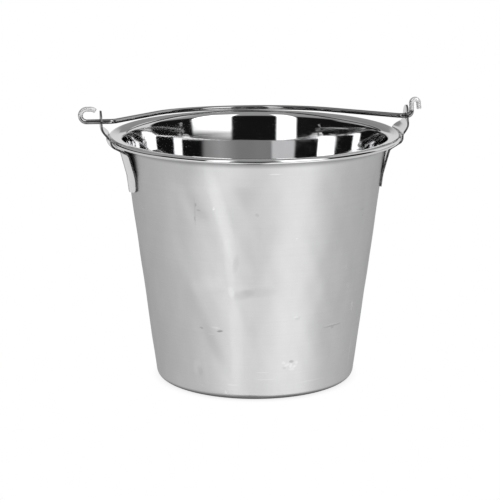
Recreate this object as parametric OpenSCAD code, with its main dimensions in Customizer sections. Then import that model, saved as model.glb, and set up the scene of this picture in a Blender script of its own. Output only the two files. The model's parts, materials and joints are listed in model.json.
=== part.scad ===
// Feed bucket: seamless drawn steel pail with a rolled rim, two welded ears and a swinging wire bail.
// Millimetres, +Z up. The origin is the centre of the foot, on the floor. The ears stand on X.
// The bail is drawn at rest, folded back on the +Y side of the rim.

/* [Pail] */
// Outside radius of the wall, carried down to the floor
foot_radius = 105.8; // [95:0.1:115]
// Growth of the wall radius for each millimetre of height
wall_taper = 0.131; // [0.1:0.001:0.15]
// Height of the faint crease above which the wall flares a little more
crease_height = 231; // [225:1:238]
// Thickness of the drawn sheet
sheet = 0.9; // [0.7:0.05:1.2]
// Outside radius of the corner between the wall and the floor
corner_radius = 7.5; // [6:0.5:12]
// Height of the centre panel above the floor
foot_recess = 1.5; // [0.8:0.1:2.5]

/* [Rim] */
// Radius of the circle through the middle of the rolled bead
bead_circle = 152; // [151:0.1:153.5]
// Height of the middle of the bead
bead_height = 260.7; // [259:0.1:262]
// Outside radius of the bead's section
bead_radius = 2.8; // [2.4:0.05:2.9]
// Upward slope of the flat flange, degrees
flange_slope = 6; // [3:0.5:9]
// Radius of the bend from the wall into the flange
flange_bend = 6; // [4:0.5:8]
// How far the sheet rolls round the bead, degrees
curl_turn = 295; // [240:5:300]

/* [Ears] */
// Thickness of the ear plate
ear_plate = 2; // [1.5:0.1:2.4]
// Half the width of the ear just below the rim, where it is widest
ear_half_width = 44; // [41:1:50]
// Half the width of the ear at its lower corners
ear_low_half = 38.5; // [34:0.5:44]
// Half the width of the neck beside the bead
neck_half_width = 28; // [22:1:34]
// Radius of the head round the bail hole
head_radius = 11.5; // [9:0.5:14]
// Radius of the bail hole
hole_radius = 3.6; // [3.2:0.1:4.5]
// Distance of the head's middle plane from the axis
head_reach = 163; // [162:0.5:165]
// Height of the lowest point of the ear
ear_bottom = 203; // [198:1:208]

/* [Bail] */
// Radius of the wire
wire_radius = 2.6; // [2.2:0.1:2.8]
// Height of the hinge line
pivot_height = 279; // [277:0.5:281]
// Radius of the curve at the top of the bail
bail_curve = 109; // [90:1:125]
// Slope of the left arm, from the hinge line to the top curve, degrees
left_slope = 61.5; // [59:0.5:63]
// Slope of the right arm, degrees
right_slope = 58.5; // [57:0.5:61]
// Gap between the wire and the rim at rest
rest_gap = 0.15; // [0.1:0.05:0.4]

/* [Hidden] */
$fn = 96;
arc_steps = 10;
curl_steps = 36;
slit = 0.02;

wall_angle = atan(wall_taper);
bead_middle = bead_radius - sheet / 2;
rim_top = bead_height + bead_radius;
panel_radius = 84;
panel_run = 4;
panel_bend = 4;
corner_middle = corner_radius - sheet / 2;

// The flare above the crease: two slopes joined by a long soft bend
flare_low_taper = 0.151;
flare_top_taper = 0.194;
flare_bend_height = 243;
flare_bend = 450;
crease_bend = 60;

// Heights and reaches of the bends that carry the ear off the wall and out round the bead
ear_start = ear_bottom - 8;
leave_wall = 222;
under_rim_reach = 143.6;
under_rim_height = 251;
bead_gap = 0.6;
beside_bead = bead_circle + bead_radius + bead_gap + ear_plate / 2;
neck_foot = 257.2;
leave_bend = 20;
under_rim_bend = 7;
neck_foot_bend = 4.5;
neck_low_bend = 6;
neck_high_bend = 8;
neck_out_low = 263;
neck_out_high = 271;
ear_top = pivot_height + head_radius;
ear_end = ear_top + 4;

// Outline of the ear below the rim and at its shoulders
ear_low_corner = 210;
ear_side_low = 230;
ear_side_high = 251.5;
shoulder_height = 260;
neck_height = 265;
ear_tip_bend = 70;
ear_corner_bend = 8;
ear_low_bend = 20;
ear_high_bend = 6;
shoulder_bend = 5;
neck_bend = 10;
head_side = pivot_height - 4;
head_side_bend = 8;
ear_sweep = 25;
weld_height = 213;
weld_turns = [-11, 0, 11];
weld_radius = 2.5;
weld_sink = 2;

bail_depth = norm([bead_circle, pivot_height - rim_top - wire_radius - rest_gap]);
bail_droop = atan((pivot_height - rim_top - wire_radius - rest_gap) / bead_circle);
knee_bend = 6;
crown_run = 4;
bend_thinning = 0.02;
bend_reach = 0.3;
left_hook_run = 14.5;
left_hook_bend = 6.6;
left_return_run = 4;
left_tip_turn = 40;
left_tip_bend = 7;
left_tip_run = 1;
right_hook_start = head_reach + ear_plate / 2 + 0.3;
right_hook_bend = 4.4;
right_rise_run = 9;
right_curl_bend = 3.8;
right_curl_turn = 175;
right_fall_run = 7;
left_pin_end = head_reach + left_hook_run;

steel = [0.78, 0.78, 0.8];
bright_steel = [0.86, 0.86, 0.88];
wire_steel = [0.7, 0.7, 0.72];

// Outside radius of the wall at a height
function wall_at(z) = foot_radius + wall_taper * z;
function unit(v) = v / norm(v);
function left_of(v) = [-v.y, v.x];
function turn_between(a, b) = atan2(a.x * b.y - a.y * b.x, a * b);
function turned(v, angle) = [v.x * cos(angle) - v.y * sin(angle), v.x * sin(angle) + v.y * cos(angle)];

// Points of a corner rounded with a radius
function corner_points(before, at, after, radius) =
    let (
        way_in = unit(at - before),
        way_out = unit(after - at),
        turn = turn_between(way_in, way_out),
        start = at - way_in * radius * tan(abs(turn) / 2),
        centre = start + sign(turn) * radius * left_of(way_in)
    )
    [for (i = [0:arc_steps]) centre + turned(start - centre, turn * i / arc_steps)];

// An open path of [x, y, radius] rounded at its inner points
function rounded_path(p) = concat(
    [[p[0].x, p[0].y]],
    [for (i = [1:len(p) - 2]) each corner_points(
        [p[i - 1].x, p[i - 1].y], [p[i].x, p[i].y], [p[i + 1].x, p[i + 1].y], p[i].z)],
    [[p[len(p) - 1].x, p[len(p) - 1].y]]
);

// Sideways step at one point of a path, long enough to keep the thickness on a bend
function side_step(p, i) =
    let (
        last = len(p) - 1,
        way_in = i > 0 ? unit(p[i] - p[i - 1]) : unit(p[1] - p[0]),
        way_out = i < last ? unit(p[i + 1] - p[i]) : way_in
    )
    (left_of(way_in) + left_of(way_out)) / (1 + way_in * way_out);
function beside(p, distance) = [for (i = [0:len(p) - 1]) p[i] + side_step(p, i) * distance];
function reversed(p) = [for (i = [len(p) - 1:-1:0]) p[i]];
function strip(p, thickness) = concat(beside(p, thickness / 2), reversed(beside(p, -thickness / 2)));

// Middle of the pail's sheet, from the centre of the floor out to the start of the rolled edge
function flange_end() = [
    bead_circle - bead_middle * sin(flange_slope),
    bead_height + bead_middle * cos(flange_slope)
];
function wall_middle(z) = wall_at(z) - sheet / 2 / cos(wall_angle);
function flare_middle() =
    [wall_middle(crease_height) + flare_low_taper * (flare_bend_height - crease_height), flare_bend_height];
function flange_corner() =
    let (
        end = flange_end(),
        flare = flare_middle(),
        rise = tan(flange_slope),
        start = flare.x - flare_top_taper * flare.y,
        reach = (start + flare_top_taper * (end.y - end.x * rise)) / (1 - flare_top_taper * rise)
    )
    [reach, end.y - (end.x - reach) * rise];
function pail_path() =
    let (flare = flare_middle(), top = flange_corner(), end = flange_end())
    rounded_path([
        [0, foot_recess + sheet / 2, 0],
        [panel_radius, foot_recess + sheet / 2, panel_bend],
        [panel_radius + panel_run, sheet / 2, panel_bend],
        [wall_middle(sheet / 2), sheet / 2, corner_middle],
        [wall_middle(crease_height), crease_height, crease_bend],
        [flare.x, flare.y, flare_bend],
        [top.x, top.y, flange_bend],
        [end.x, end.y, 0]
    ]);
function curl_path() = [
    for (i = [1:curl_steps])
        let (a = 90 + flange_slope - curl_turn * i / curl_steps)
        [bead_circle + bead_middle * cos(a), bead_height + bead_middle * sin(a)]
];

module pail_body() {
    color(steel)
        rotate_extrude()
            polygon(strip(concat(pail_path(), curl_path()), sheet));
}

// The ear seen from the side: up the wall, out under the rim, up past the bead, and out to the head
function ear_reach(z) = wall_at(z) + (ear_plate / 2 + slit) / cos(wall_angle);
function ear_path() = rounded_path([
    [ear_reach(ear_start), ear_start, 0],
    [ear_reach(leave_wall), leave_wall, leave_bend],
    [under_rim_reach, under_rim_height, under_rim_bend],
    [beside_bead, neck_foot, neck_foot_bend],
    [beside_bead, neck_out_low, neck_low_bend],
    [head_reach, neck_out_high, neck_high_bend],
    [head_reach, ear_end, 0]
]);

// Right-hand half of the ear's outline, seen along the hinge line, from the bottom up
function ear_half() = rounded_path([
    [-ear_low_half, ear_low_corner, 0],
    [0, ear_bottom, ear_tip_bend],
    [ear_low_half, ear_low_corner, ear_corner_bend],
    [ear_half_width, ear_side_low, ear_low_bend],
    [ear_half_width, ear_side_high, ear_high_bend],
    [neck_half_width, shoulder_height, shoulder_bend],
    [neck_half_width, neck_height, neck_bend],
    [head_radius, head_side, head_side_bend],
    [head_radius, pivot_height, 0]
]);
function right_side(p) = [for (q = p) if (q.x > 0) q];
function mirrored(p) = [for (q = p) [-q.x, q.y]];

module ear_outline() {
    half = right_side(ear_half());
    polygon(concat([[0, ear_half()[1 + arc_steps / 2].y]], half, mirrored(reversed(half))));
    translate([0, pivot_height])
        circle(r = head_radius);
}

// The plate before it is cut to its outline: a piece of a turned sheet that follows the round wall
module ear_strip() {
    rotate([0, 0, -ear_sweep])
        rotate_extrude(angle = 2 * ear_sweep)
            polygon(strip(ear_path(), ear_plate));
}

// Spots of weld metal that fill the slit between the plate and the wall
module ear_welds() {
    difference() {
        for (turn = weld_turns)
            rotate([0, 0, turn])
                translate([wall_at(weld_height) - weld_sink / 2, 0, weld_height])
                    rotate([0, 90 + wall_angle, 0])
                        cylinder(r = weld_radius, h = weld_sink);
        cylinder(r1 = wall_at(0), r2 = wall_at(bead_height), h = bead_height);
    }
}

module ear() {
    color(bright_steel)
        difference() {
            union() {
                intersection() {
                    ear_strip();
                    translate([head_reach / 2, 0, 0])
                        rotate([90, 0, 90])
                            linear_extrude(height = head_reach)
                                ear_outline();
                }
                ear_welds();
            }
            translate([head_reach - 2 * ear_plate, 0, pivot_height])
                rotate([0, 90, 0])
                    cylinder(r = hole_radius, h = 4 * ear_plate);
        }
}

module right_ear() {
    ear();
}

module left_ear() {
    rotate([0, 0, 180])
        ear();
}

// Bent wire. Each step is ["run", length], ["bend", radius, turn] or ["roll", turn];
// the wire starts along +Z and a bend turns it towards +X. The wire is a hair thinner in its bends,
// and each bend runs a little way into the straights beside it.
function bend_lap(radius) = asin(bend_reach / radius);
module wire(steps, i = 0) {
    if (i < len(steps)) {
        step = steps[i];
        if (step[0] == "run") {
            cylinder(r = wire_radius, h = step[1]);
            translate([0, 0, step[1]])
                wire(steps, i + 1);
        }
        if (step[0] == "bend") {
            translate([step[1], 0, 0]) {
                rotate([-90, 0, 0])
                    rotate([0, 0, 180 - bend_lap(step[1])])
                        rotate_extrude(angle = step[2] + 2 * bend_lap(step[1]))
                            translate([step[1], 0])
                                circle(r = wire_radius - bend_thinning);
                rotate([0, step[2], 0])
                    translate([-step[1], 0, 0])
                        wire(steps, i + 1);
            }
        }
        if (step[0] == "roll") {
            rotate([0, 0, step[1]])
                wire(steps, i + 1);
        }
    }
}

// An arm runs from the end of the top curve down to the hinge line; its foot is where it gets there
function arm_length(slope) = (bail_depth - bail_curve * (1 - cos(slope))) / sin(slope);
function arm_foot(slope) =
    crown_run / 2 + bail_curve * sin(slope) + arm_length(slope) * cos(slope);
function knee_cut(slope) = knee_bend * tan(slope / 2);

// One side of the bail, from the end of the short straight at its top to a pin of a given reach
function arm_steps(slope, pin_end) = [
    ["bend", bail_curve, slope],
    ["run", arm_length(slope) - knee_cut(slope)],
    ["roll", 180],
    ["bend", knee_bend, slope],
    ["run", pin_end - arm_foot(slope) - knee_cut(slope)]
];

module bail() {
    left_hook = [
        ["roll", -90],
        ["bend", left_hook_bend, 180],
        ["run", left_return_run],
        ["bend", left_tip_bend, left_tip_turn],
        ["run", left_tip_run]
    ];
    right_hook = [
        ["roll", 90],
        ["bend", right_hook_bend, 90],
        ["run", right_rise_run],
        ["roll", 180],
        ["bend", right_curl_bend, right_curl_turn],
        ["run", right_fall_run]
    ];
    color(wire_steel)
        translate([0, 0, pivot_height])
            rotate([-bail_droop, 0, 0])
                translate([0, bail_depth, 0]) {
                    translate([-crown_run / 2, 0, 0])
                        rotate([0, 90, 0])
                            cylinder(r = wire_radius, h = crown_run);
                    translate([crown_run / 2, 0, 0])
                        rotate([0, 90, 0])
                            rotate([0, 0, -90])
                                wire(concat(arm_steps(right_slope, right_hook_start), right_hook));
                    translate([-crown_run / 2, 0, 0])
                        rotate([0, -90, 0])
                            rotate([0, 0, -90])
                                wire(concat(arm_steps(left_slope, left_pin_end), left_hook));
                }
}

pail_body();
left_ear();
right_ear();
bail();
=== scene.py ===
"""Looks of the feed bucket: a satin drawn-steel pail, polished inside and on its rim, with two polished
ears and a bright wire bail. Sizes are in millimetres unless a comment says otherwise, and every mesh is
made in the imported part's frame, which is in metres."""

import json
import math

import bmesh
import bpy
import numpy as np
from mathutils import Matrix, Vector


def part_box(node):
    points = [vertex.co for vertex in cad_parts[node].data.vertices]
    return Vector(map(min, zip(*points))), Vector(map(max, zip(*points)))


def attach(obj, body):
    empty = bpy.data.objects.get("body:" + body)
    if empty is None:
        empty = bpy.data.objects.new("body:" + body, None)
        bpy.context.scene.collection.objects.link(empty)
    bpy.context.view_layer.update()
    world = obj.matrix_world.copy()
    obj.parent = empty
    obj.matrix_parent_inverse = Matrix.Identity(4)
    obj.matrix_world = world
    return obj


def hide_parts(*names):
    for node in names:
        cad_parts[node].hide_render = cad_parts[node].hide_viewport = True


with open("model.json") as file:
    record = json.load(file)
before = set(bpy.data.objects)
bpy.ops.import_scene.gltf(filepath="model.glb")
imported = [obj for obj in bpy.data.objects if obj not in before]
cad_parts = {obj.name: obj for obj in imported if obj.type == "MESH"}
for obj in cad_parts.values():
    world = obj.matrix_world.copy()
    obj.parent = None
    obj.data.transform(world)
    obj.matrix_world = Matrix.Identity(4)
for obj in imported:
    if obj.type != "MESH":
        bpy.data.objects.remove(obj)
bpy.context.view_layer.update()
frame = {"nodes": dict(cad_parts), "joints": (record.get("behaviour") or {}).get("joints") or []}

MM = 0.001
HALF_TURN = math.pi
FULL_TURN = 2 * math.pi
QUARTER_TURN = math.pi / 2
PAIL_BODY = "pail"
HANDLE_BODY = "handle"


def frame_mm(length):
    """A length of the frame in millimetres, to the nearest tenth."""
    return round(length / MM, 1)


# Driving sizes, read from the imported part
pail_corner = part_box("pail_body")[1]
ear_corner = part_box("right_ear")[1]
RIM_RADIUS = frame_mm(pail_corner.x)
PAIL_HEIGHT = frame_mm(pail_corner.z)
EAR_REACH = frame_mm(ear_corner.x)
EAR_HALF = frame_mm(ear_corner.y)
EAR_HEIGHT = frame_mm(ear_corner.z)
PIVOT_HEIGHT = frame_mm(frame["joints"][0]["pos_m"][2])

# Sizes of the pail's section, the same as the solid it stands for
SHEET = 0.9
FOOT_RADIUS = 105.8
TAPER = 0.131
WALL_ANGLE = math.atan(TAPER)
CORNER = 7.5
PANEL_RADIUS = 84.0
PANEL_RUN = 4.0
PANEL_BEND = 4.0
PANEL_RISE = 1.5
CREASE_HEIGHT = 231.0
CREASE_BEND = 60.0
FLARE_LOW_TAPER = 0.151
FLARE_TOP_TAPER = 0.194
FLARE_HEIGHT = 243.0
FLARE_BEND = 450.0
FLANGE_SLOPE = math.radians(6)
FLANGE_BEND = 6.0
BEAD_RADIUS = 2.8
BEAD_CIRCLE = RIM_RADIUS - BEAD_RADIUS
BEAD_HEIGHT = PAIL_HEIGHT - BEAD_RADIUS
CURL_TURN = math.radians(295)

# How finely round stretches are cut: steps in a bend of 60 degrees or more, and in the curl
BEND_STEPS = 14
CURL_STEPS = 40


# ---------------------------------------------------------------- paths and meshes


def unit(v):
    return v / np.linalg.norm(v)


def turned(v, angle):
    c, s = math.cos(angle), math.sin(angle)
    return np.array([v[0] * c - v[1] * s, v[0] * s + v[1] * c])


def corner_points(before, at, after, radius, steps):
    """Points of a corner of a flat path, rounded with a radius. A turn of 60 degrees gets all steps."""
    way_in, way_out = unit(at - before), unit(after - at)
    across = way_in[0] * way_out[1] - way_in[1] * way_out[0]
    turn = math.atan2(across, float(way_in @ way_out))
    steps = max(2, math.ceil(steps * min(1.0, abs(turn) * 3 / math.pi)))
    start = at - way_in * radius * math.tan(abs(turn) / 2)
    centre = start + math.copysign(radius, turn) * np.array([-way_in[1], way_in[0]])
    return [centre + turned(start - centre, turn * i / steps) for i in range(steps + 1)]


def rounded_path(points, steps=BEND_STEPS):
    """An open path of (x, y, radius), rounded at its inner points."""
    flat = [np.array(p[:2], float) for p in points]
    out = [flat[0]]
    for i in range(1, len(points) - 1):
        out += corner_points(flat[i - 1], flat[i], flat[i + 1], points[i][2], steps)
    return out + [flat[-1]]


def arc(centre, radius, start, turn, steps):
    """Points of an arc after its first one."""
    angles = [start + turn * i / steps for i in range(1, steps + 1)]
    return [
        np.array([centre[0] + radius * math.cos(a), centre[1] + radius * math.sin(a)])
        for a in angles
    ]


def resampled(path, spacing):
    """The path with extra points, so that no step is longer than spacing."""
    out = [path[0]]
    for a, b in zip(path, path[1:], strict=False):
        n = max(1, math.ceil(np.linalg.norm(b - a) / spacing))
        out += [a + (b - a) * (i + 1) / n for i in range(n)]
    return out


def directions(path):
    """Unit way ahead at each point of a path."""
    way = np.gradient(np.array(path), axis=0)
    return way / np.linalg.norm(way, axis=1)[:, None]


def ring_faces(rings, around):
    """Quads between rings of points, each ring joined to the next."""
    faces = []
    for j in range(rings - 1):
        low, high = j * around, (j + 1) * around
        for k in range(around):
            n = (k + 1) % around
            faces.append((low + k, low + n, high + n, high + k))
    return faces


def clean(mesh, merge, facing=None):
    """Merges doubled points and turns all faces outwards, or an open sheet's faces to a given side."""
    no_length = 1e-7
    bm = bmesh.new()
    bm.from_mesh(mesh)
    bmesh.ops.remove_doubles(bm, verts=bm.verts, dist=merge)
    bmesh.ops.dissolve_degenerate(bm, edges=bm.edges, dist=no_length)
    bmesh.ops.recalc_face_normals(bm, faces=bm.faces)
    if facing and sum(f.normal.dot(facing) * f.calc_area() for f in bm.faces) < 0:
        bmesh.ops.reverse_faces(bm, faces=bm.faces)
    bm.to_mesh(mesh)
    bm.free()


def mesh_object(name, verts, faces, body, merge=1e-6, facing=None):
    """A smooth mesh that moves with a body. Its points, merge and the sizes in it are in metres."""
    mesh = bpy.data.meshes.new(name)
    mesh.from_pydata([tuple(v) for v in verts], [], faces)
    mesh.validate()
    clean(mesh, merge, facing)
    mesh.update()
    for poly in mesh.polygons:
        poly.use_smooth = True
    obj = bpy.data.objects.new(name, mesh)
    bpy.context.scene.collection.objects.link(obj)
    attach(obj, body)
    return obj


# ---------------------------------------------------------------- pail

PAIL_AROUND = 360
PAIL_SPACING = 4.0
# Waves and dings grow between the first two heights and fade out between the last two
PUSH_HEIGHTS = (14, 44, 232, 252)
# Shallow dings in the wall: angle round the pail from the front (degrees, + towards +X), height,
# radius and depth
DINGS = (
    (-30, 196, 7, 0.22),
    (-2, 190, 9, 0.16),
    (-19, 94, 6, 0.18),
    (10, 84, 8, 0.2),
    (33, 62, 6, 0.2),
    (12, 36, 9, 0.3),
    (-21, 108, 5, 0.14),
    (-12, 140, 8, 0.12),
    (96, 150, 12, 0.3),
    (-120, 90, 14, 0.35),
    (170, 180, 13, 0.3),
    (205, 70, 10, 0.28),
    (-75, 60, 9, 0.2),
    (60, 120, 8, 0.16),
)
# A ding is felt this many times its radius away
DING_SPREAD = 3
# Slow waves in the sheet: times round the pail, waves in WAVE_HEIGHT up the wall, start and size
WAVE_HEIGHT = 260.0
WAVES = (
    (2, 0.6, 0.4, 0.1),
    (3, 1.3, 2.1, 0.06),
    (5, 0.8, 4.0, 0.045),
    (7, 2.1, 1.1, 0.03),
    (11, 2.9, 5.2, 0.018),
    (16, 3.7, 0.3, 0.01),
)
# Finer ripples that show only on the satin outside of the sheet, in the same terms
RIPPLES = (
    (9, 2.3, 0.7, 0.09),
    (14, -3.1, 2.9, 0.08),
    (21, 3.8, 5.1, 0.058),
    (29, -5.2, 1.6, 0.045),
    (37, 6.1, 3.3, 0.032),
)


def wall_at(z):
    return FOOT_RADIUS + TAPER * z


def wall_middle(z):
    return wall_at(z) - SHEET / 2 / math.cos(WALL_ANGLE)


def pail_middle_path():
    """Middle of the sheet from the centre of the floor to the end of the rolled edge."""
    roll = BEAD_RADIUS - SHEET / 2
    end_reach = BEAD_CIRCLE - roll * math.sin(FLANGE_SLOPE)
    end_height = BEAD_HEIGHT + roll * math.cos(FLANGE_SLOPE)
    flare = wall_middle(CREASE_HEIGHT) + FLARE_LOW_TAPER * (FLARE_HEIGHT - CREASE_HEIGHT)
    # The flare meets the flange's line, which rises by this much for each millimetre outwards
    rise = math.tan(FLANGE_SLOPE)
    meet = flare + FLARE_TOP_TAPER * (end_height - end_reach * rise - FLARE_HEIGHT)
    meet /= 1 - FLARE_TOP_TAPER * rise
    path = rounded_path(
        [
            (0, PANEL_RISE + SHEET / 2, 0),
            (PANEL_RADIUS, PANEL_RISE + SHEET / 2, PANEL_BEND),
            (PANEL_RADIUS + PANEL_RUN, SHEET / 2, PANEL_BEND),
            (wall_middle(SHEET / 2), SHEET / 2, CORNER - SHEET / 2),
            (wall_middle(CREASE_HEIGHT), CREASE_HEIGHT, CREASE_BEND),
            (flare, FLARE_HEIGHT, FLARE_BEND),
            (meet, end_height - (end_reach - meet) * rise, FLANGE_BEND),
            (end_reach, end_height, 0),
        ]
    )
    bead = (BEAD_CIRCLE, BEAD_HEIGHT)
    return path + arc(bead, roll, QUARTER_TURN + FLANGE_SLOPE, -CURL_TURN, CURL_STEPS)


def wavy(waves, angle, height):
    """Sum of waves at a place on the wall."""
    return sum(
        size * math.cos(times * angle + FULL_TURN * up * height / WAVE_HEIGHT + start)
        for times, up, start, size in waves
    )


def wall_ends(height):
    """0 at the foot's corner and at the rim and 1 in between, so that waves and dings stay off both."""
    low, full, last, high = PUSH_HEIGHTS
    grown = max(0.0, (height - low) / (full - low))
    left = max(0.0, (high - height) / (high - last))
    return min(1.0, grown, left)


def wall_push(angle, height):
    """How far the wall bulges outwards at a place, from its waves and its dings."""
    push = wavy(WAVES, angle, height)
    for where, at, radius, depth in DINGS:
        gap = math.remainder(angle + QUARTER_TURN - math.radians(where), FULL_TURN)
        away = math.hypot(gap * wall_at(height), height - at) / radius
        if away < DING_SPREAD:
            push -= depth * math.exp(-away * away)
    return push * wall_ends(height)


def build_pail():
    """The drawn sheet as one closed skin: the outside from the floor's centre up, then back inside."""
    middle = resampled(pail_middle_path(), PAIL_SPACING)
    turns = [FULL_TURN * k / PAIL_AROUND for k in range(PAIL_AROUND)]
    outside, inside = [], []
    for at, way in zip(middle, directions(middle), strict=True):
        half_sheet = np.array([-way[1], way[0]]) * SHEET / 2
        pushes = [wall_push(a, max(at[1], 0)) for a in turns]
        rippled = [
            push + wavy(RIPPLES, a, at[1]) * wall_ends(at[1])
            for push, a in zip(pushes, turns, strict=True)
        ]
        outside.append((at - half_sheet, rippled))
        inside.append((at + half_sheet, pushes))
    rings = outside + inside[::-1]
    verts = []
    for (reach, height), pushes in rings:
        for a, push in zip(turns, pushes, strict=True):
            r = reach + push if reach > PANEL_RADIUS else max(reach, 0.0)
            verts.append((r * math.cos(a) * MM, r * math.sin(a) * MM, height * MM))
    faces = ring_faces(len(rings), PAIL_AROUND)
    obj = mesh_object("pail_shell", verts, faces, PAIL_BODY)
    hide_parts("pail_body")
    return obj


# ---------------------------------------------------------------- ears

PLATE = 2.0
HEAD_RADIUS = EAR_HEIGHT - PIVOT_HEIGHT
HEAD_REACH = EAR_REACH - PLATE / 2
HOLE_RADIUS = 3.6
BEAD_GAP = 0.6
WALL_SLIT = 0.02
EAR_EDGE = 0.35
EDGE_SEGMENTS = 3
EDGE_ANGLE = math.radians(50)

# The ear from the side, from under its lowest point to past its top: height and radius of each bend
EAR_START = 195.0
OFF_WALL = (222.0, 20.0)
UNDER_RIM = (251.0, 7.0)
BESIDE_LOW = (257.2, 4.5)
BESIDE_HIGH = (263.0, 6.0)
HEAD_FOOT = (271.0, 8.0)
UNDER_RIM_REACH = 143.6
EAR_END = EAR_HEIGHT + 4

# The ear from outside: half widths, and height and radius of each corner
LOW_HALF = 38.5
NECK_HALF = 28.0
LOWEST = (203.0, 70.0)
LOW_CORNER = (210.0, 8.0)
WIDE_LOW = (230.0, 20.0)
WIDE_HIGH = (251.5, 6.0)
NECK_LOW = (260.0, 5.0)
NECK_HIGH = (265.0, 10.0)
HEAD_SIDE = (PIVOT_HEIGHT - 4, 8.0)

# Dents of the spot welds: where they are round the pail (degrees), and their size
WELD_HEIGHT = 213.0
WELD_TURNS = (-11, 0, 11)
WELD_DENT = 0.3
WELD_DENT_RADIUS = 2.8

# How finely the ear is cut: along its path, in rows and columns, and round its outline, hole and head
PATH_SPACING = 0.5
ROW_HEIGHT = 0.9
LOW_ROWS = (0.02, 0.1, 0.25)
COLUMNS = 40
OUTLINE_STEPS = 20
HEAD_STEPS = 32
HOLE_ROWS = 14
HEAD_ROWS = 18
TOP_ROW = 0.01


def ear_path():
    """The ear from the side: up the wall, off it, out under the rim, past the bead and up."""

    def reach(z):
        return wall_at(z) + (PLATE / 2 + WALL_SLIT) / math.cos(WALL_ANGLE)

    beside = RIM_RADIUS + BEAD_GAP + PLATE / 2
    return rounded_path(
        [
            (reach(EAR_START), EAR_START, 0),
            (reach(OFF_WALL[0]), *OFF_WALL),
            (UNDER_RIM_REACH, *UNDER_RIM),
            (beside, *BESIDE_LOW),
            (beside, *BESIDE_HIGH),
            (HEAD_REACH, *HEAD_FOOT),
            (HEAD_REACH, EAR_END, 0),
        ]
    )


def ear_outline():
    """One half of the ear's outline, from its lowest point to its top: (half width, height)."""
    corners = [
        (-LOW_HALF, *LOW_CORNER),
        (0, *LOWEST),
        (LOW_HALF, *LOW_CORNER),
        (EAR_HALF, *WIDE_LOW),
        (EAR_HALF, *WIDE_HIGH),
        (NECK_HALF, *NECK_LOW),
        (NECK_HALF, *NECK_HIGH),
        (HEAD_RADIUS, *HEAD_SIDE),
        (HEAD_RADIUS, PIVOT_HEIGHT, 0),
    ]
    almost_zero = -1e-6
    half = [p for p in rounded_path(corners, OUTLINE_STEPS) if p[0] > almost_zero]
    return half + arc((0, PIVOT_HEIGHT), HEAD_RADIUS, 0, QUARTER_TURN, HEAD_STEPS)


def ear_heights(path, low):
    """Heights of the rows of the ear's mesh: even steps along the plate, and closer round its hole."""
    gone = np.concatenate([[0], np.cumsum(np.linalg.norm(np.diff(path, axis=0), axis=1))])
    even = np.interp(np.arange(0, gone[-1], ROW_HEIGHT), gone, path[:, 1])
    bottom = low + ROW_HEIGHT / 2
    top = PIVOT_HEIGHT - HOLE_RADIUS - ROW_HEIGHT / 2
    heights = [low + rise for rise in LOW_ROWS]
    heights += [z for z in even if bottom < z < top]
    heights += [
        PIVOT_HEIGHT - HOLE_RADIUS * math.cos(HALF_TURN * i / HOLE_ROWS)
        for i in range(HOLE_ROWS + 1)
    ]
    start = math.asin(HOLE_RADIUS / HEAD_RADIUS)
    span = QUARTER_TURN - start
    heights += [
        PIVOT_HEIGHT + HEAD_RADIUS * math.sin(start + span * i / HEAD_ROWS)
        for i in range(1, HEAD_ROWS)
    ]
    return [*heights, EAR_HEIGHT - TOP_ROW]


def weld_dent(y, z):
    """Depth of the small dents left by the spot welds."""
    depth = 0.0
    for turn in WELD_TURNS:
        across = wall_at(WELD_HEIGHT) * math.sin(math.radians(turn))
        away = math.hypot(y - across, z - WELD_HEIGHT) / WELD_DENT_RADIUS
        depth += WELD_DENT * math.exp(-(away**4))
    return depth


def ear_row(z, path, outline, side):
    """Points of one row of the ear, first its -Y half and then its +Y half, each from the middle out."""
    half = float(np.interp(z, outline[:, 1], outline[:, 0]))
    hole = math.sqrt(max(HOLE_RADIUS**2 - (z - PIVOT_HEIGHT) ** 2, 0.0))
    radius = float(np.interp(z, path[:, 1], path[:, 0]))
    row = []
    for sign in (-1, 1):
        for c in range(COLUMNS + 1):
            y = sign * (hole + (half - hole) * c / COLUMNS)
            x = math.sqrt((radius - weld_dent(y, z)) ** 2 - y**2)
            row.append((side * x * MM, y * MM, z * MM))
    return row


def row_faces(rows):
    """Quads between the rows of both halves of an ear."""
    faces = []
    wide = COLUMNS + 1
    for j in range(rows - 1):
        for start in (0, wide):
            for c in range(COLUMNS):
                low = 2 * wide * j + start + c
                high = low + 2 * wide
                faces.append((low, low + 1, high + 1, high))
    return faces


def build_ear(name, node, side):
    """One ear as a curved sheet with its hole, thickened and with rounded edges."""
    same_point = 5e-6
    path = np.array(resampled(ear_path(), PATH_SPACING))
    outline = np.array(ear_outline())
    outline = outline[np.argsort(outline[:, 1], kind="stable")]
    rows = [ear_row(z, path, outline, side) for z in ear_heights(path, outline[0, 1])]
    verts = [point for row in rows for point in row]
    faces = row_faces(len(rows))
    facing = Vector((side, 0, 0))
    obj = mesh_object(name, verts, faces, PAIL_BODY, same_point, facing)
    thick = obj.modifiers.new("plate", "SOLIDIFY")
    thick.thickness = PLATE * MM
    thick.offset = 0
    thick.use_even_offset = True
    thick.material_offset_rim = 1
    edge = obj.modifiers.new("edge", "BEVEL")
    edge.width = EAR_EDGE * MM
    edge.segments = EDGE_SEGMENTS
    edge.limit_method = "ANGLE"
    edge.angle_limit = EDGE_ANGLE
    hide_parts(node)
    return obj


# ---------------------------------------------------------------- bail

WIRE_RADIUS = 2.6
REST_GAP = 0.15
CROWN = 4.0
BAIL_CURVE = 109.0
LEFT_SLOPE = math.radians(61.5)
RIGHT_SLOPE = math.radians(58.5)
KNEE = 6.0
# At rest the wire lies on the rolled edge, so the arch droops from the pins to the back of the rim
BAIL_DROP = PIVOT_HEIGHT - PAIL_HEIGHT - WIRE_RADIUS - REST_GAP
BAIL_DEPTH = math.hypot(BEAD_CIRCLE, BAIL_DROP)
BAIL_DROOP = math.atan2(BAIL_DROP, BEAD_CIRCLE)

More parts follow.
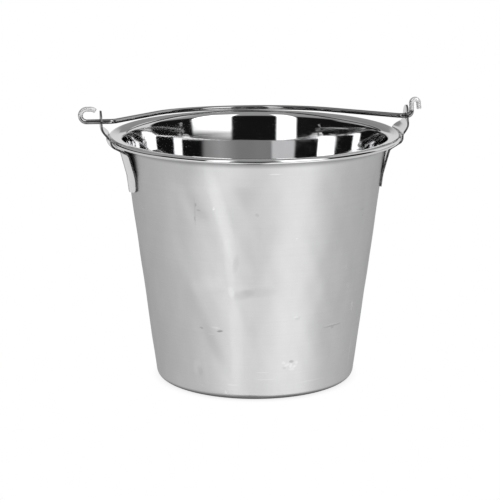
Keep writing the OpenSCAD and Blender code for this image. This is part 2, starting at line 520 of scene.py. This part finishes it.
# The ends of the wire past the ears. A step is a roll by an angle, a bend with a radius and an
# angle, or a straight run: on the right up, over and down, on the left up and back over the ear
RIGHT_PIN_END = HEAD_REACH + PLATE / 2 + 0.3
RIGHT_END = (
    ("roll", QUARTER_TURN),
    ("bend", 4.4, QUARTER_TURN),
    ("run", 9.0),
    ("roll", HALF_TURN),
    ("bend", 3.8, math.radians(175)),
    ("run", 7.0),
)
LEFT_PIN_END = HEAD_REACH + 14.5
LEFT_END = (
    ("roll", -QUARTER_TURN),
    ("bend", 6.6, HALF_TURN),
    ("run", 4.0),
    ("bend", 7.0, math.radians(40)),
    ("run", 1.0),
)

# How finely the wire is cut: the longest step, the largest turn in a bend, points round it, and
# the rounding of its cut ends
WIRE_STEP = 3
WIRE_TURN = math.radians(7)
WIRE_AROUND = 28
END_ROUND = 0.9
END_STEPS = 5


def arm_length(slope):
    return (BAIL_DEPTH - BAIL_CURVE * (1 - math.cos(slope))) / math.sin(slope)


def arm_foot(slope):
    return CROWN / 2 + BAIL_CURVE * math.sin(slope) + arm_length(slope) * math.cos(slope)


def arm_steps(slope, pin_end):
    """Steps of one arm of the bail: the arch, the straight arm, the knee and the pin."""
    cut = KNEE * math.tan(slope / 2)
    return [
        ("bend", BAIL_CURVE, slope),
        ("run", arm_length(slope) - cut),
        ("roll", HALF_TURN),
        ("bend", KNEE, slope),
        ("run", pin_end - arm_foot(slope) - cut),
    ]


def run_points(at, axes, length):
    """Points of a straight run, and the axes after it, which are the same."""
    n = max(1, math.ceil(length / WIRE_STEP))
    return [at + axes[:, 2] * length * (i + 1) / n for i in range(n)], axes


def bend_points(at, axes, radius, angle):
    """Points of a bend, and the axes after it."""
    n = max(3, math.ceil(angle * radius / WIRE_STEP), math.ceil(angle / WIRE_TURN))
    centre = at + axes[:, 0] * radius
    points = []
    for i in range(n):
        a = angle * (i + 1) / n
        points.append(centre + radius * (axes[:, 2] * math.sin(a) - axes[:, 0] * math.cos(a)))
    c, s = math.cos(angle), math.sin(angle)
    return points, axes @ np.array([[c, 0, s], [0, 1, 0], [-s, 0, c]])


def roll_points(at, axes, angle):
    """A roll about the wire adds no points and only turns the axes."""
    c, s = math.cos(angle), math.sin(angle)
    return [], axes @ np.array([[c, -s, 0], [s, c, 0], [0, 0, 1]])


def wire_points(start, axes, steps):
    """Points along a bent wire. The columns of axes are the way it bends, its side and its run."""
    kinds = {"run": run_points, "bend": bend_points, "roll": roll_points}
    points, axes = [np.array(start, float)], np.array(axes, float)
    for kind, *sizes in steps:
        more, axes = kinds[kind](points[-1], axes, *sizes)
        points += more
    return points


def tube_rings(points, radius):
    """Rings of a round tube as (centre, two ways across, radius), with rounded ends."""
    way = directions(points)
    across = unit(np.cross(way[0], (0, 0, 1)))
    rings = []
    for at, ahead in zip(points, way, strict=True):
        across = unit(across - ahead * float(across @ ahead))
        rings.append((at, across, np.cross(ahead, across), radius))
    front, back = [], []
    for k in range(END_STEPS):
        a = QUARTER_TURN * k / END_STEPS
        size = radius - END_ROUND * (1 - math.sin(a))
        inset = END_ROUND * (1 - math.cos(a))
        front.append((points[0] + way[0] * inset, *rings[0][1:3], size))
        back.append((points[-1] - way[-1] * inset, *rings[-1][1:3], size))
    return front + rings[1:-1] + back[::-1]


def tube(points, radius):
    """Vertices and faces of a closed round tube along points."""
    rings = tube_rings(points, radius)
    verts = []
    for at, across, other, size in rings:
        for k in range(WIRE_AROUND):
            a = FULL_TURN * k / WIRE_AROUND
            verts.append(at + (across * math.cos(a) + other * math.sin(a)) * size)
    first_cap = tuple(range(WIRE_AROUND))[::-1]
    last_cap = tuple(range(len(verts) - WIRE_AROUND, len(verts)))
    return verts, [*ring_faces(len(rings), WIRE_AROUND), first_cap, last_cap]


def build_bail():
    """The wire in the plane of its arch, from the crown out to both ends, then laid back on the rim."""
    right_axes = [[0, 0, 1], [-1, 0, 0], [0, -1, 0]]
    left_axes = [[0, 0, -1], [-1, 0, 0], [0, 1, 0]]
    right_steps = [*arm_steps(RIGHT_SLOPE, RIGHT_PIN_END), *RIGHT_END]
    left_steps = [*arm_steps(LEFT_SLOPE, LEFT_PIN_END), *LEFT_END]
    right = wire_points((CROWN / 2, BAIL_DEPTH, 0), right_axes, right_steps)
    left = wire_points((-CROWN / 2, BAIL_DEPTH, 0), left_axes, left_steps)
    crown = np.array((0, BAIL_DEPTH, 0))
    verts, faces = tube([*left[::-1], crown, *right], WIRE_RADIUS)
    tilt = Matrix.Rotation(-BAIL_DROOP, 3, "X")
    pivot = Vector((0, 0, PIVOT_HEIGHT))
    verts = [(tilt @ Vector(v) + pivot) * MM for v in verts]
    obj = mesh_object("bail_wire", verts, faces, HANDLE_BODY)
    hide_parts("bail")
    return obj


# ---------------------------------------------------------------- materials

# Blue over red and green in the tone of the pail's steel
COOL = 1.01


class Nodes:
    """A short way to write a node tree."""

    def __init__(self, tree):
        self.tree = tree
        tree.nodes.clear()

    def add(self, kind, inputs=None, **settings):
        node = self.tree.nodes.new("ShaderNode" + kind)
        for key, value in settings.items():
            setattr(node, key, value)
        for key, value in (inputs or {}).items():
            self.put(node.inputs[key], value)
        return node

    def put(self, socket, value):
        if isinstance(value, bpy.types.NodeSocket):
            self.tree.links.new(value, socket)
        else:
            socket.default_value = value

    def math(self, operation, *values):
        node = self.add("Math", operation=operation)
        for i, value in enumerate(values):
            self.put(node.inputs[i], value)
        return node.outputs[0]

    def sum(self, total, *values):
        for value in values:
            total = self.math("ADD", total, value)
        return total

    def product(self, total, *values):
        for value in values:
            total = self.math("MULTIPLY", total, value)
        return total

    def ramp(self, value, low, high, to_low=0.0, to_high=1.0):
        """Smooth change from one value to another, where the input goes from low to high."""
        node = self.add(
            "MapRange",
            {
                "Value": value,
                "From Min": low,
                "From Max": high,
                "To Min": to_low,
                "To Max": to_high,
            },
            interpolation_type="SMOOTHSTEP",
        )
        return node.outputs[0]

    def mix(self, share, a, b):
        node = self.add("Mix", {"Factor": share}, data_type="FLOAT")
        self.put(node.inputs[2], a)
        self.put(node.inputs[3], b)
        return node.outputs[0]

    def grey(self, value):
        node = self.add("CombineColor", {"Red": value, "Green": value, "Blue": value})
        return node.outputs[0]

    def position(self):
        return self.add("TexCoord").outputs["Object"]

    def parts(self, vector):
        return self.add("SeparateXYZ", {"Vector": vector}).outputs

    def noise(self, vector, scale, detail, roughness):
        node = self.add(
            "TexNoise",
            {"Vector": vector, "Scale": scale, "Detail": detail, "Roughness": roughness},
        )
        return node.outputs["Fac"]

    def wrapped_noise(self, position, around, upright, detail, roughness):
        """Noise laid round the pail's axis, with one scale round the pail and one up it."""
        x, y, z = self.parts(position)
        turn = self.math("ARCTAN2", y, x)
        place = self.add(
            "CombineXYZ",
            {
                "X": self.product(self.math("COSINE", turn), around),
                "Y": self.product(self.math("SINE", turn), around),
                "Z": self.product(z, upright),
            },
        )
        return self.noise(place.outputs[0], 1.0, detail, roughness)

    def bump(self, height, strength, depth):
        inputs = {"Height": height, "Strength": strength, "Distance": depth * MM}
        return self.add("Bump", inputs).outputs[0]


def new_material(name):
    material = bpy.data.materials.new(name)
    material.use_nodes = True
    return material, Nodes(material.node_tree)


def finish_steel(n, tone, roughness, bump, cool=1.0, **more):
    """Ends a material as bare metal of one grey tone, with more inputs of the surface if it needs them."""
    colour = n.add("CombineColor", {"Red": tone, "Green": tone, "Blue": n.product(tone, cool)})
    inputs = {
        "Base Color": colour.outputs[0],
        "Metallic": 1.0,
        "Roughness": roughness,
        "Normal": bump,
    }
    surface = n.add("BsdfPrincipled", inputs | more)
    out = n.add("OutputMaterial")
    n.put(out.inputs["Surface"], surface.outputs[0])


# Wear on the outside of the wall. Each mark is an oval: turn from the front (degrees, + towards +X),
# height, half length and half width, lean of its length from upright (degrees, + towards +X),
# softness from 0 to 1, and how much lighter or darker it is
WEAR = (
    (-29.5, 192, 44, 9, -13, 0.9, -0.09),
    (-22, 205, 36, 5, -13, 0.8, 0.09),
    (-19, 148, 24, 3.5, -4, 0.8, 0.06),
    (-27, 58, 40, 10, 0, 0.9, -0.08),
    (-16.5, 72, 38, 5, 0, 0.8, 0.05),
    (0, 82, 60, 13, 0, 0.95, 0.05),
    (-18.5, 119.5, 4.5, 2.4, -10, 0.7, 0.1),
    (-12.5, 117.5, 7, 3.6, 72, 0.95, -0.12),
    (-5, 120, 11, 3.6, 88, 0.95, -0.07),
    (-16, 150, 7, 2.2, 10, 0.8, -0.08),
    (-31, 127, 13, 6, 70, 0.9, 0.04),
    (-34.3, 203, 13, 0.7, 2, 0.6, -0.08),
    (-33.6, 211, 2.0, 0.7, 10, 0.5, -0.22),
    (-32.4, 205.5, 0.7, 2.4, 6, 0.5, -0.18),
    (-34.6, 196, 2.2, 0.7, -8, 0.5, -0.16),
    (-6, 203, 1.4, 1.8, 30, 0.7, -0.13),
    (1.5, 245.5, 0.6, 5.5, 0, 0.5, 0.16),
    (-35.5, 77.5, 0.8, 2.0, 14, 0.5, -0.24),
    (-25.2, 76, 0.9, 2.8, -8, 0.5, -0.4),
    (-27.6, 79.6, 0.8, 4.2, 4, 0.6, 0.12),
    (-30, 72, 0.7, 3.4, -5, 0.6, 0.08),
    (15, 89.6, 1.5, 2.4, -20, 0.7, -0.1),
    (14.2, 91, 0.7, 2.6, 0, 0.6, 0.12),
    (37.2, 74.6, 0.55, 10.5, 0, 0.5, -0.24),
    (37.4, 72.8, 1.1, 2.0, 0, 0.6, -0.16),
    (37, 76.4, 0.5, 9.5, 0, 0.5, 0.07),
    (12.8, 42, 1.1, 1.8, 0, 0.6, -0.28),
    (8.4, 41.2, 1.2, 1.6, 30, 0.8, 0.1),
    (10.4, 38.4, 1.0, 2.2, -24, 0.8, 0.12),
    (15.8, 40.4, 1.4, 1.2, 0, 0.8, 0.1),
    (12.6, 37.2, 1.8, 1.2, 12, 0.7, 0.15),
    (9.0, 35.4, 1.0, 1.5, 10, 0.8, -0.1),
    (14.8, 36.2, 1.0, 2.0, -30, 0.8, 0.13),
    (13.2, 33.2, 1.1, 2.4, 10, 0.8, 0.1),
    (-3, 31.6, 0.6, 6.5, 0, 0.5, 0.09),
    (-1.2, 23.6, 0.6, 7, 0, 0.5, 0.08),
    (-19.4, 17, 0.6, 5, 0, 0.5, 0.1),
    (-40, 33, 6.5, 3.4, 16, 0.8, 0.06),
    (-38.4, 29, 4, 2.2, -12, 0.8, -0.08),
    (26, 17.5, 0.6, 13, 0, 0.6, 0.07),
    (58.5, 36, 14, 0.7, 0, 0.6, 0.12),
    (50.5, 196, 0.6, 3.2, 0, 0.6, -0.12),
    (142, 120, 30, 0.7, 24, 0.6, 0.12),
    (205, 92, 0.8, 26, 4, 0.6, -0.1),
    (-118, 150, 26, 10, 8, 0.9, 0.06),
    (96, 64, 0.8, 14, 6, 0.6, 0.12),
)
# Noise that pushes the marks' outlines about, up and sideways, and makes them ragged
WOBBLE = 1.6
WOBBLE_SCALES = (190, 230)
RAGGED = (0.25, 1.75)
# Painted shade in the tone of the wall: at its foot, where it stands in its own shade, and close under the
# rolled edge, where the bead shades it: from and to height (m), and the share of the tone at each
FOOT_PAINTED_SHADE = (0.0012, 0.0062, 0.22, 1.0)
RIM_PAINTED_SHADE = (0.2505, 0.256, 1.0, 0.52)
# How bright the satin wall is where it is seen almost edge on
EDGE_TONE = 0.62
ANISOTROPY = 0.55


def mark_shape(n, side, up, ragged, mark):
    """1 inside a mark and 0 outside it. Side and up are millimetres from its middle."""
    _, _, length, width, lean, soft, _ = mark
    c, s = math.cos(math.radians(lean)), math.sin(math.radians(lean))
    along = n.math("MULTIPLY_ADD", up, c / length, n.product(side, s / length))
    across = n.math("MULTIPLY_ADD", up, -s / width, n.product(side, c / width))
    away = n.math("MULTIPLY_ADD", along, along, n.product(across, across))
    return n.ramp(n.product(away, ragged), (1 + soft) ** 2, (1 - soft) ** 2)


def wear(n, position):
    """How much the wear changes the tone of the wall: 0 where there is none."""
    x, y, z = n.parts(position)
    turn = n.math("ARCTAN2", x, n.product(y, -1.0))
    sway_up, sway_side = (
        n.product(n.sum(n.noise(position, scale, 3.0, 0.6), -0.5), WOBBLE)
        for scale in WOBBLE_SCALES
    )
    height = n.math("MULTIPLY_ADD", z, 1 / MM, sway_up)
    ragged = n.mix(n.noise(position, 95, 5.0, 0.7), *RAGGED)
    total = 0.0
    for mark in WEAR:
        where, at, *_, change = mark
        gap = n.math("WRAP", n.sum(turn, -math.radians(where)), math.pi, -math.pi)
        side = n.math("MULTIPLY_ADD", gap, wall_at(at), sway_side)
        shape = mark_shape(n, side, n.sum(height, -at), ragged, mark)
        total = n.math("MULTIPLY_ADD", shape, change, total)
    return total


def satin_steel():
    """Outside of the drawn wall: fine grain round the pail, faint upright streaks of roughness and of
    painted shading, scuffs and wear, and painted shade at the foot and close under the rolled edge.
    """
    material, n = new_material("satin_steel")
    position = n.position()
    grain = n.wrapped_noise(position, 1.6, 2600, 4.0, 0.65)
    coarse = n.wrapped_noise(position, 0.9, 420, 3.0, 0.6)
    upright_streaks = n.wrapped_noise(position, 3.2, 9, 5.0, 0.55)
    speck = n.noise(position, 900, 2.0, 0.6)
    scuff = n.ramp(n.wrapped_noise(position, 9, 60, 2.0, 0.5), 0.72, 0.78)
    rough = n.mix(grain, 0.27, 0.36)
    rough = n.sum(rough, n.mix(upright_streaks, -0.03, 0.05), n.product(scuff, -0.1))
    # Faint upright painted shading: the tone follows the upright streaks
    tone = n.mix(n.ramp(upright_streaks, 0.36, 0.64), 0.63, 0.67)
    tone = n.sum(tone, n.mix(coarse, -0.02, 0.02), n.product(scuff, 0.05))
    height = n.parts(position)[2]
    # Painted shade: the tone is darkened at the foot and close under the rolled edge
    painted_shade = n.product(n.ramp(height, *FOOT_PAINTED_SHADE), n.ramp(height, *RIM_PAINTED_SHADE))
    tone = n.product(tone, n.sum(wear(n, position), 1.0), painted_shade)
    relief = n.sum(n.product(grain, 0.6), n.product(speck, 0.12))
    finish_steel(
        n,
        tone,
        rough,
        n.bump(relief, strength=0.22, depth=0.04),
        COOL,
        Anisotropic=ANISOTROPY,
        Tangent=n.add("Tangent", direction_type="RADIAL", axis="Z").outputs[0],
        **{"Specular Tint": (EDGE_TONE, EDGE_TONE, EDGE_TONE, 1.0)},
    )
    return material


def polished_steel():
    """Inside, flange and bead: near mirror with hairline scratches, drip marks and handling haze."""
    material, n = new_material("polished_steel")
    position = n.position()
    hair = n.wrapped_noise(position, 2.2, 3200, 3.0, 0.7)
    haze = n.noise(position, 38, 5.0, 0.6)
    wipe = n.wrapped_noise(position, 6, 24, 4.0, 0.6)
    scratch = n.ramp(n.wrapped_noise(position, 5, 900, 2.0, 0.4), 0.7, 0.74)
    rough = n.sum(
        0.035,
        n.ramp(haze, 0.45, 0.75, to_high=0.05),
        n.ramp(wipe, 0.5, 0.8, to_high=0.04),
        n.product(scratch, 0.08),
    )
    relief = n.sum(hair, n.product(scratch, -0.8))
    bump = n.bump(relief, strength=0.05, depth=0.03)
    finish_steel(n, n.mix(haze, 0.74, 0.8), rough, bump, COOL)
    return material


def ear_steel():
    """Stamped and tumbled plate: bright, with soft handling marks."""
    material, n = new_material("ear_steel")
    position = n.position()
    haze = n.noise(position, 60, 5.0, 0.6)
    pits = n.noise(position, 700, 3.0, 0.6)
    rub = n.wrapped_noise(position, 260, 30, 2.0, 0.5)
    rough = n.sum(
        0.07,
        n.ramp(haze, 0.4, 0.75, to_high=0.09),
        n.ramp(rub, 0.6, 0.75, to_high=0.05),
    )
    bump = n.bump(n.sum(pits, rub), strength=0.06, depth=0.04)
    finish_steel(n, n.mix(haze, 0.72, 0.8), rough, bump)
    return material


def cut_edge_with_painted_shade():
    """Cut edge of the plate: duller, with fine uneven lines, and painted very dark as painted shade for
    the dark strip along the plate's edge by the wall.
    """
    material, n = new_material("cut_edge_with_painted_shade")
    position = n.position()
    lines = n.wrapped_noise(position, 520, 520, 2.0, 0.6)
    haze = n.noise(position, 140, 3.0, 0.6)
    bump = n.bump(lines, strength=0.15, depth=0.05)
    # The very dark tone is painted shade; the higher roughness is the cut edge's own dullness
    finish_steel(n, n.mix(lines, 0.12, 0.22), n.mix(haze, 0.2, 0.34), bump)
    return material


# Where the wire is rubbed by the ear: from and to distance from the middle (m), on the inner side
# of the pin and on its outer side
RUB_INNER = (0.152, 0.16)
RUB_OUTER = (0.172, 0.166)
# The bent ends, which rise above the hinge line, are duller and have a painted sheen that makes them
# paler: from and to height at rest (m)
WIRE_ENDS = (0.2825, 0.2865)


def wire_steel():
    """Bright drawn wire: fine lines, small nicks, rubbed places near the ears, and duller bent ends with a
    painted sheen that makes them paler.
    """
    material, n = new_material("wire_steel")
    position = n.position()
    x, _, z = n.parts(position)
    lines = n.noise(position, 1800, 2.0, 0.6)
    nicks = n.ramp(n.noise(position, 420, 2.0, 0.5), 0.72, 0.78)
    haze = n.noise(position, 45, 4.0, 0.6)
    reach = n.math("ABSOLUTE", x)
    rubbed = n.product(n.ramp(reach, *RUB_INNER), n.ramp(reach, *RUB_OUTER))
    # Painted sheen: the bent ends are painted paler
    ends_with_painted_sheen = n.ramp(z, *WIRE_ENDS)
    rough = n.sum(
        0.07,
        n.ramp(haze, 0.4, 0.7, to_high=0.05),
        n.product(nicks, 0.12),
        n.product(rubbed, 0.12),
    )
    tone = n.sum(n.mix(haze, 0.33, 0.41), n.product(rubbed, -0.1))
    relief = n.sum(lines, n.product(nicks, -0.8))
    bump = n.bump(relief, strength=0.04, depth=0.04)
    finish_steel(n, n.mix(ends_with_painted_sheen, tone, 0.95), n.mix(ends_with_painted_sheen, rough, 0.5), bump)
    return material


# The polish covers what faces up or inwards, and everything above this far under the bead's middle
POLISH_DROP = 3.2
# A face steeper than this counts as upright
LEVEL = 0.2


def paint(pail, ears, bail):
    pail.data.materials.append(satin_steel())
    pail.data.materials.append(polished_steel())
    top = (BEAD_HEIGHT - POLISH_DROP) * MM
    for poly in pail.data.polygons:
        at, way = poly.center, poly.normal
        inwards = way.x * at.x + way.y * at.y < 0
        inside = way.z > LEVEL or (inwards and way.z > -LEVEL)
        poly.material_index = 1 if inside or at.z > top else 0
    bright, cut = ear_steel(), cut_edge_with_painted_shade()
    for ear in ears:
        ear.data.materials.append(bright)
        ear.data.materials.append(cut)
    bail.data.materials.append(wire_steel())
    for node in frame["nodes"].values():
        node.data.materials.clear()
        node.data.materials.append(bright)


# ---------------------------------------------------------------- studio

# Camera: its place round the pail and above it (degrees), its distance (m), the width of the picture
# at the pail's axis, the height it aims at (m), and the shift of the lens as shares of the width
CAMERA_TURN = -7.0
CAMERA_TILT = 13.5
CAMERA_AWAY = 2.1
FRAME_WIDTH = 538.5
AIM_HEIGHT = 0.1303
LENS_SHIFT = (-0.0098, 0.010)
SENSOR = 36

# What the steel sees round the studio: turn from the camera's side (degrees, + to the camera's
# right), half width, lowest and highest elevation with the softness of each, side softness, strength
PANELS = (
    (180, 40, -30, 1, 13, 4, 3, 0.74),
    (180, 14, -34, 3, -7, 3, 7, 0.22),
    (212, 66, 13, 1, 60, 6, 6, 0.28),
    (245, 16, 13, 1, 60, 6, 26, 0.47),
    (168, 16, 13, 1, 60, 6, 12, 0.3),
    (128, 21, -2, 1, 60, 6, 3, 0.8),
    (-29, 9, 1, 1, 62, 4, 1.5, 1.8),
    (40.3, 18.7, 8.6, 3.4, 62, 4, 1.5, 2.2),
    (-2, 13, -17, 3, 3, 2, 4, 0.01),
    (-2, 12, -78, 4, -40, 3, 5, 0.02),
)
# The room's light, the ceiling's, and the elevations between which one turns into the other
ROOM = 0.008
CEILING = 0.35
CEILING_FROM_TO = (25, 45)
# The floor's light, and bands across it: turn, half width, softness, drift with elevation, strength
FLOOR_LIGHT = 0.68
FLOOR_BANDS = (
    (-32, 14, 13, 2.2, 0.86),
    (42, 23, 18, 0.4, 0.6),
    (3, 22, 20, 0.0, 0.12),
)
FLOOR_MIDDLE = -28
FLOOR_FROM_TO = (-4, -12)
# The floor's light close to the pail, and the elevations between which it changes to that
FLOOR_BELOW = 0.5
BELOW_FROM_TO = (-44, -60)

# The floor that the camera sees: half its side, how far it lies under the pail, and its painted contact
# shade, which is felt this far away and goes from and to these shares of openness and of tone
FLOOR_HALF = 3.0
FLOOR_GAP = 0.0002
CONTACT_REACH = 0.016
CONTACT_SAMPLES = 16
CONTACT_TONE = (0.0, 0.8, 0.84, 1.0)


def build_camera():
    turn, tilt = math.radians(CAMERA_TURN), math.radians(CAMERA_TILT)
    level = math.cos(tilt)
    back = Vector((math.sin(turn) * level, -math.cos(turn) * level, math.sin(tilt)))
    data = bpy.data.cameras.new("camera")
    data.sensor_width = SENSOR
    data.lens = SENSOR * CAMERA_AWAY / (FRAME_WIDTH * MM)
    data.shift_x, data.shift_y = LENS_SHIFT
    camera = bpy.data.objects.new("camera", data)
    bpy.context.scene.collection.objects.link(camera)
    camera.location = Vector((0, 0, AIM_HEIGHT)) + back * CAMERA_AWAY
    camera.rotation_euler = (-back).to_track_quat("-Z", "Y").to_euler()
    bpy.context.scene.camera = camera


def degree_ramp(n, value, low, high):
    """Smooth change from 0 to 1, where an angle goes from low to high degrees."""
    return n.ramp(value, math.radians(low), math.radians(high))


def soft_window(n, value, middle, half, edge):
    """1 inside a span of degrees, falling to 0 over an edge, going round at 360."""
    shifted = n.sum(value, -math.radians(middle))
    away = n.math("ABSOLUTE", n.math("WRAP", shifted, math.pi, -math.pi))
    return degree_ramp(n, away, half + edge, half - edge)


def floor_light(n, turn, up):
    """Light of the floor as the steel sees it, with bright bands across it."""
    light = FLOOR_LIGHT
    fallen = n.sum(up, -math.radians(FLOOR_MIDDLE))
    for middle, half, edge, drift, strength in FLOOR_BANDS:
        drifted = n.sum(turn, n.product(fallen, drift))
        shape = soft_window(n, drifted, middle, half, edge)
        light = n.math("MULTIPLY_ADD", shape, strength, light)
    return n.mix(degree_ramp(n, up, *BELOW_FROM_TO), light, FLOOR_BELOW)


def build_world():
    """White for the camera, and for the steel a studio of soft panels, dark gaps and a floor."""
    world = bpy.data.worlds.new("studio")
    bpy.context.scene.world = world
    world.use_nodes = True
    n = Nodes(world.node_tree)
    x, y, z = n.parts(n.add("TexCoord").outputs["Generated"])
    turn = n.sum(n.math("ARCTAN2", x, n.product(y, -1.0)), -math.radians(CAMERA_TURN))
    up = n.math("ARCSINE", z)
    light = n.mix(degree_ramp(n, up, *CEILING_FROM_TO), ROOM, CEILING)
    light = n.mix(degree_ramp(n, up, *FLOOR_FROM_TO), light, floor_light(n, turn, up))
    for middle, half, low, soft_low, high, soft_high, edge, strength in PANELS:
        across = soft_window(n, turn, middle, half, edge)
        rise = degree_ramp(n, up, low - soft_low, low + soft_low)
        fall = degree_ramp(n, up, high + soft_high, high - soft_high)
        light = n.mix(n.product(across, rise, fall), light, strength)
    shown = n.mix(n.add("LightPath").outputs["Is Camera Ray"], light, 1.0)
    shine = n.add("Background", {"Color": n.grey(shown), "Strength": 1.0})
    out = n.add("OutputWorld")
    n.put(out.inputs["Surface"], shine.outputs[0])


def build_floor():
    """A plain pale floor that glows, with only a faint painted contact shade under the pail."""
    material, n = new_material("pale_floor")
    inputs = {"Distance": CONTACT_REACH}
    # Painted contact shadow: the floor's glow is darker where the pail is close
    painted_shade = n.add("AmbientOcclusion", inputs, samples=CONTACT_SAMPLES)
    tone = n.ramp(painted_shade.outputs["AO"], *CONTACT_TONE)
    glow = n.add("Emission", {"Color": n.grey(tone), "Strength": 1.0})
    out = n.add("OutputMaterial")
    n.put(out.inputs["Surface"], glow.outputs[0])
    corners = [(-1, -1), (1, -1), (1, 1), (-1, 1)]
    verts = [(x * FLOOR_HALF, y * FLOOR_HALF, 0) for x, y in corners]
    mesh = bpy.data.meshes.new("floor")
    mesh.from_pydata(verts, [], [(0, 1, 2, 3)])
    mesh.materials.append(material)
    floor = bpy.data.objects.new("floor", mesh)
    bpy.context.scene.collection.objects.link(floor)
    floor.location.z = -FLOOR_GAP
    floor.visible_glossy = False
    floor.visible_shadow = False


pail = build_pail()
ears = [
    build_ear("ear_left", "left_ear", -1),
    build_ear("ear_right", "right_ear", 1),
]
bail = build_bail()
paint(pail, ears, bail)
build_camera()
build_world()
build_floor()
bpy.context.scene.view_settings.view_transform = "Standard"
